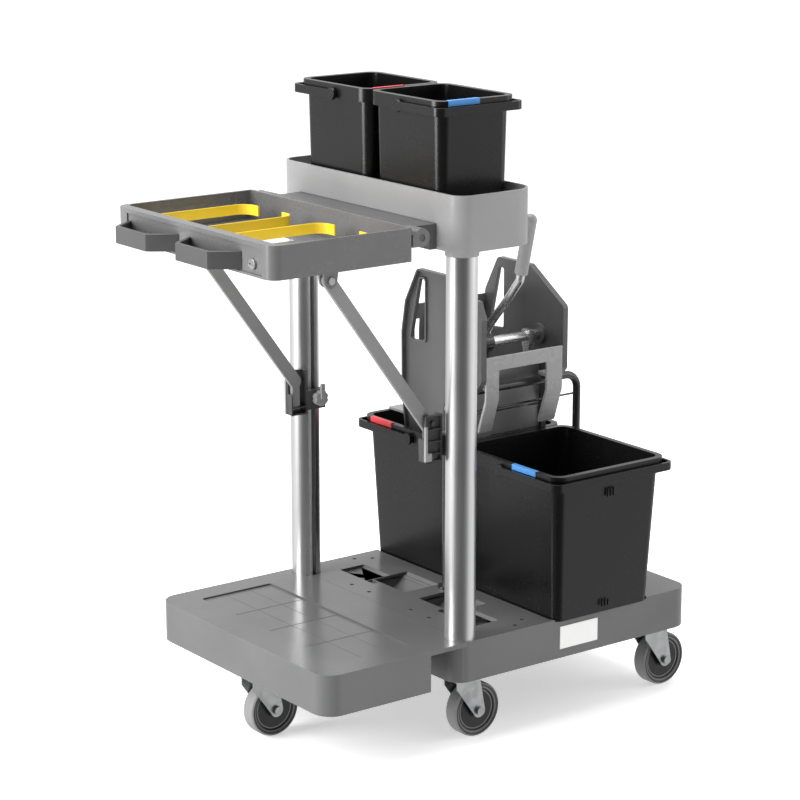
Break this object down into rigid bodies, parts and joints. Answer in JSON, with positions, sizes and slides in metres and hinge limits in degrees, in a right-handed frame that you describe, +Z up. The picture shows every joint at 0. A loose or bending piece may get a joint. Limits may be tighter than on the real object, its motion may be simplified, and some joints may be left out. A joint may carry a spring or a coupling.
{
  "type": "housekeeping cart",
  "caption": "Housekeeping cart with a bag platform, folding bag frame, tray shelf, twin posts, four buckets and a lever wringer on swivel castors.",
  "frame": {"origin": "on the floor under the middle of the cart's bounding box", "axes": "+X runs along the cart from the bag platform to the bucket end, +Y to the cart's left (the wringer's side), +Z up"},
  "size_m": [0.974, 0.598, 1.1344],
  "materials": {
    "base_plastic": "satin",
    "frame_plastic": "satin",
    "dark_plastic": "satin",
    "bucket_black": "semi-gloss",
    "wringer_grey": "satin",
    "aluminium": "anodised satin",
    "zinc_steel": "bright zinc plated",
    "black_steel": "gloss powder coat",
    "chromed_steel": "polished",
    "clamp_yellow": "satin",
    "tab_red": "satin",
    "tab_blue": "satin",
    "tyre_grey": "soft grey rubber",
    "label_white": "semi-gloss"
  },
  "bodies": {
    "root": {"chassis": "base_plastic", "platform": "base_plastic", "label_plate": "label_white", "post_left": "aluminium", "post_right": "aluminium", "shelf": "frame_plastic", "hinge_housing": "dark_plastic", "hinge_pin": "zinc_steel", "wringer_stand": "black_steel", "castor_plates": "zinc_steel"},
    "bag_frame": {"bag_frame": "frame_plastic", "bag_handles": "dark_plastic", "strut_pins": "zinc_steel"},
    "lock": {"lock_cylinder": "dark_plastic"},
    "clamp_1": {"bag_clamp_1": "clamp_yellow"},
    "clamp_2": {"bag_clamp_2": "clamp_yellow"},
    "clamp_3": {"bag_clamp_3": "clamp_yellow"},
    "clamp_4": {"bag_clamp_4": "clamp_yellow"},
    "strut_left": {"strut_left": "frame_plastic"},
    "strut_right": {"strut_right": "frame_plastic"},
    "bracket_left": {"bracket_left": "dark_plastic"},
    "bracket_right": {"bracket_right": "dark_plastic"},
    "knob_left": {"knob_left": "dark_plastic"},
    "knob_right": {"knob_right": "dark_plastic"},
    "lower_bucket_left": {"lower_bucket_left": "bucket_black", "lower_tab_left": "tab_red"},
    "lower_bucket_right": {"lower_bucket_right": "bucket_black", "lower_tab_right": "tab_blue"},
    "upper_bucket_left": {"upper_bucket_left": "bucket_black", "upper_tab_left": "tab_red"},
    "upper_bucket_right": {"upper_bucket_right": "bucket_black", "upper_tab_right": "tab_blue"},
    "lower_bail_left": {"lower_bail_left": "bucket_black"},
    "lower_bail_right": {"lower_bail_right": "bucket_black"},
    "upper_bail_left": {"upper_bail_left": "bucket_black"},
    "upper_bail_right": {"upper_bail_right": "bucket_black"},
    "wringer": {"wringer_cheek_front": "frame_plastic", "wringer_cheek_rear": "frame_plastic", "wringer_front": "wringer_grey", "wringer_basket": "wringer_grey"},
    "lever": {"wringer_shaft": "chromed_steel", "lever_tube": "chromed_steel", "lever_hub": "dark_plastic", "lever_grip": "frame_plastic"},
    "press_plate": {"press_plate": "wringer_grey"},
    "fork_1": {"fork_1": "zinc_steel"},
    "wheel_1": {"hub_1": "dark_plastic", "tyre_1": "tyre_grey"},
    "fork_2": {"fork_2": "zinc_steel"},
    "wheel_2": {"hub_2": "dark_plastic", "tyre_2": "tyre_grey"},
    "fork_3": {"fork_3": "zinc_steel"},
    "wheel_3": {"hub_3": "dark_plastic", "tyre_3": "tyre_grey"},
    "fork_4": {"fork_4": "zinc_steel"},
    "wheel_4": {"hub_4": "dark_plastic", "tyre_4": "tyre_grey"},
    "fork_5": {"fork_5": "zinc_steel"},
    "wheel_5": {"hub_5": "dark_plastic", "tyre_5": "tyre_grey"}
  },
  "joints": [
    {"name": "bag_frame_fold", "type": "hinge", "parent": "root", "child": "bag_frame", "pos_m": [-0.141, 0, 0.916], "axis": [0, 1, 0], "range_deg": [0, 90]},
    {"name": "strut_left_swing", "type": "hinge", "parent": "bag_frame", "child": "strut_left", "pos_m": [-0.304, 0.2, 0.857], "axis": [0, 1, 0], "range_deg": [-54.06, 0.5]},
    {"name": "strut_right_swing", "type": "hinge", "parent": "bag_frame", "child": "strut_right", "pos_m": [-0.304, -0.2, 0.857], "axis": [0, 1, 0], "range_deg": [-54.06, 0.5]},
    {"name": "lock_turn", "type": "hinge", "parent": "bag_frame", "child": "lock", "pos_m": [-0.443, -0.184, 0.898], "axis": [-1, 0, 0], "range_deg": [0, 90]},
    {"name": "clamp_1_lift", "type": "hinge", "parent": "bag_frame", "child": "clamp_1", "pos_m": [-0.411, 0.19, 0.911], "axis": [0, 1, 0], "range_deg": [-75, 0]},
    {"name": "clamp_2_lift", "type": "hinge", "parent": "bag_frame", "child": "clamp_2", "pos_m": [-0.411, 0.04, 0.911], "axis": [0, 1, 0], "range_deg": [-75, 0]},
    {"name": "clamp_3_lift", "type": "hinge", "parent": "bag_frame", "child": "clamp_3", "pos_m": [-0.411, -0.042, 0.911], "axis": [0, 1, 0], "range_deg": [-75, 0]},
    {"name": "clamp_4_lift", "type": "hinge", "parent": "bag_frame", "child": "clamp_4", "pos_m": [-0.411, -0.19, 0.911], "axis": [0, 1, 0], "range_deg": [-75, 0]},
    {"name": "bracket_left_slide", "type": "slide", "parent": "root", "child": "bracket_left", "axis": [0, 0, -1], "range_m": [0, 0.2]},
    {"name": "knob_left_turn", "type": "hinge", "parent": "bracket_left", "child": "knob_left", "pos_m": [-0.052, 0.2, 0.543], "axis": [0, 1, 0], "range_deg": [0, 90]},
    {"name": "bracket_right_slide", "type": "slide", "parent": "root", "child": "bracket_right", "axis": [0, 0, -1], "range_m": [0, 0.2]},
    {"name": "knob_right_turn", "type": "hinge", "parent": "bracket_right", "child": "knob_right", "pos_m": [-0.052, -0.2, 0.543], "axis": [0, 1, 0], "range_deg": [0, 90]},
    {"name": "wringer_lift", "type": "slide", "parent": "root", "child": "wringer", "axis": [0, 0, 1], "range_m": [0, 0.3]},
    {"name": "lower_bucket_left_lift", "type": "slide", "parent": "root", "child": "lower_bucket_left", "axis": [0, 0.1191, 0.9929], "range_m": [0, 0.16]},
    {"name": "lower_bucket_right_lift", "type": "slide", "parent": "root", "child": "lower_bucket_right", "axis": [0, -0.1191, 0.9929], "range_m": [0, 0.16]},
    {"name": "upper_bucket_left_lift", "type": "slide", "parent": "root", "child": "upper_bucket_left", "axis": [0, 0, 1], "range_m": [0, 0.25]},
    {"name": "upper_bucket_right_lift", "type": "slide", "parent": "root", "child": "upper_bucket_right", "axis": [0, 0, 1], "range_m": [0, 0.25]},
    {"name": "lower_bail_left_swing", "type": "hinge", "parent": "lower_bucket_left", "child": "lower_bail_left", "pos_m": [0.249, 0.136, 0.449], "axis": [1, 0, 0], "range_deg": [0, 60]},
    {"name": "upper_bail_left_swing", "type": "hinge", "parent": "upper_bucket_left", "child": "upper_bail_left", "pos_m": [0.005, 0.0965, 1.116], "axis": [1, 0, 0], "range_deg": [0, 95]},
    {"name": "lower_bail_right_swing", "type": "hinge", "parent": "lower_bucket_right", "child": "lower_bail_right", "pos_m": [0.249, -0.136, 0.449], "axis": [-1, 0, 0], "range_deg": [0, 95]},
    {"name": "upper_bail_right_swing", "type": "hinge", "parent": "upper_bucket_right", "child": "upper_bail_right", "pos_m": [0.005, -0.0965, 1.116], "axis": [-1, 0, 0], "range_deg": [0, 95]},
    {"name": "lever_pull", "type": "hinge", "parent": "wringer", "child": "lever", "pos_m": [0.157, 0.03, 0.64], "axis": [1, 0, 0], "range_deg": [0, 60]},
    {"name": "press_slide", "type": "slide", "parent": "wringer", "child": "press_plate", "axis": [0, 1, 0], "range_m": [-0.0005, 0.1005]},
    {"name": "castor_1_swivel", "type": "hinge", "parent": "root", "child": "fork_1", "pos_m": [-0.033, 0.216, 0.11], "axis": [0, 0, 1], "continuous": true},
    {"name": "wheel_1_spin", "type": "hinge", "parent": "fork_1", "child": "wheel_1", "pos_m": [-0.008, 0.216, 0.05], "axis": [0, 1, 0], "continuous": true},
    {"name": "castor_2_swivel", "type": "hinge", "parent": "root", "child": "fork_2", "pos_m": [-0.033, -0.216, 0.11], "axis": [0, 0, 1], "continuous": true},
    {"name": "wheel_2_spin", "type": "hinge", "parent": "fork_2", "child": "wheel_2", "pos_m": [-0.008, -0.216, 0.05], "axis": [0, 1, 0], "continuous": true},
    {"name": "castor_3_swivel", "type": "hinge", "parent": "root", "child": "fork_3", "pos_m": [0.412, 0.216, 0.11], "axis": [0, 0, 1], "continuous": true},
    {"name": "wheel_3_spin", "type": "hinge", "parent": "fork_3", "child": "wheel_3", "pos_m": [0.437, 0.216, 0.05], "axis": [0, 1, 0], "continuous": true},
    {"name": "castor_4_swivel", "type": "hinge", "parent": "root", "child": "fork_4", "pos_m": [0.412, -0.216, 0.11], "axis": [0, 0, 1], "continuous": true},
    {"name": "wheel_4_spin", "type": "hinge", "parent": "fork_4", "child": "wheel_4", "pos_m": [0.437, -0.216, 0.05], "axis": [0, 1, 0], "continuous": true},
    {"name": "castor_5_swivel", "type": "hinge", "parent": "root", "child": "fork_5", "pos_m": [-0.319, 0, 0.11], "axis": [0, 0, 1], "continuous": true},
    {"name": "wheel_5_spin", "type": "hinge", "parent": "fork_5", "child": "wheel_5", "pos_m": [-0.294, 0, 0.05], "axis": [0, 1, 0], "continuous": true}
  ],
  "couplings": [
    {"joint": "strut_left_swing", "follows": "bag_frame_fold", "ratio": -0.5951},
    {"joint": "strut_right_swing", "follows": "bag_frame_fold", "ratio": -0.5951},
    {"joint": "lower_bucket_left_lift", "follows": "wringer_lift", "ratio": 0.5},
    {"joint": "lower_bucket_right_lift", "follows": "wringer_lift", "ratio": 0.5},
    {"joint": "press_slide", "follows": "lever_pull", "m_per_rad": 0.09549}
  ]
}
